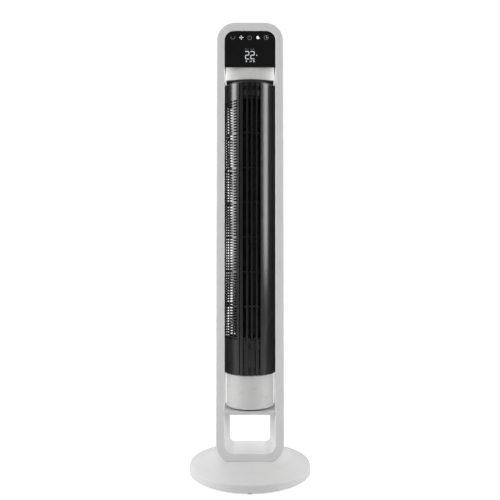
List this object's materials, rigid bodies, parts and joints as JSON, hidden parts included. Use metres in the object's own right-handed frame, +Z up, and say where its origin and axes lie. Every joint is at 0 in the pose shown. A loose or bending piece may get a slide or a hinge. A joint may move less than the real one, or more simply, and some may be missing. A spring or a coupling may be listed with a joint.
{
  "type": "tower fan",
  "caption": "Free-standing tower fan: a round base carries an upright ring frame with a touch display, and a round fan column swings inside the ring.",
  "frame": {"origin": "on the floor at the centre of the round base, under the column's swing axis", "axes": "+Z up along the column, -Y is the front with the display, +X to the viewer's right"},
  "size_m": [0.3, 0.3, 1.092],
  "materials": {
    "frame_white": "satin pearl-white moulded plastic",
    "base_white": "satin pearl-white moulded plastic with fine grain",
    "column_silver": "satin silver-white paint on plastic",
    "black_gloss": "gloss black moulded plastic",
    "black_inner": "matt black moulded plastic",
    "touch_glass": "opaque black back-painted touch glass",
    "impeller_grey": "dark grey moulded plastic",
    "rubber_black": "matt black rubber",
    "bush_plastic": "natural acetal",
    "screw_steel": "zinc-plated steel",
    "plate_steel": "black powder-coated steel",
    "motor_steel": "zinc-plated steel can",
    "circuit_green": "solder-masked circuit board",
    "bearing_bronze": "sintered bronze"
  },
  "bodies": {
    "stand": {"base_cover": "base_white", "base_plate": "black_inner", "rubber_feet": "rubber_black", "base_screws": "screw_steel", "foot_plate": "plate_steel", "frame_bolts": "screw_steel", "cord_gland": "rubber_black", "frame_front": "frame_white", "frame_rear": "frame_white", "frame_screws": "screw_steel", "swivel_bridge": "frame_white", "bridge_cover": "frame_white", "bridge_screws": "screw_steel", "swivel_post": "plate_steel", "post_screws": "screw_steel", "sun_gear": "bush_plastic", "slide_ring": "bush_plastic", "head_housing": "black_inner", "head_screws": "screw_steel", "touch_panel": "touch_glass", "touch_pads": "rubber_black", "control_board": "circuit_green", "display_module": "black_inner", "board_screws": "screw_steel", "upper_bush": "bush_plastic", "head_band": "column_silver", "head_skirt": "black_inner"},
    "column": {"column_cap": "black_gloss", "outlet_grille": "black_gloss", "side_panel": "black_gloss", "intake_grille_left": "black_gloss", "intake_grille_rear": "black_gloss", "intake_grille_right": "black_gloss", "scroll_wall": "black_inner", "vortex_wall": "black_inner", "upper_deck": "black_inner", "lower_deck": "black_inner", "mid_deck": "black_inner", "column_screws": "screw_steel", "bearing_mount": "rubber_black", "upper_bearing": "bearing_bronze", "fan_motor": "motor_steel", "motor_mounts": "rubber_black", "motor_screws": "screw_steel", "lower_shell_front": "column_silver", "lower_shell_rear": "column_silver", "shell_screws": "screw_steel", "swivel_deck": "column_silver", "swivel_bush": "bush_plastic", "swivel_motor": "motor_steel", "swivel_motor_screws": "screw_steel", "driver_board": "circuit_green"},
    "impeller": {"motor_rotor": "motor_steel", "drive_hub": "rubber_black", "impeller": "impeller_grey", "impeller_axle": "screw_steel"},
    "pinion": {"swivel_pinion": "bush_plastic"}
  },
  "joints": [
    {"name": "column_swing", "type": "hinge", "parent": "stand", "child": "column", "pos_m": [0, 0, 0.1656], "axis": [0, 0, 1], "range_deg": [-40, 40]},
    {"name": "impeller_spin", "type": "hinge", "parent": "column", "child": "impeller", "pos_m": [0, 0, 0.342], "axis": [0, 0, 1], "continuous": true},
    {"name": "pinion_spin", "type": "hinge", "parent": "column", "child": "pinion", "pos_m": [0, 0.0288, 0.175], "axis": [0, 0, 1], "range_deg": [-120, 120]}
  ],
  "couplings": [
    {"joint": "pinion_spin", "follows": "column_swing", "ratio": 3}
  ]
}
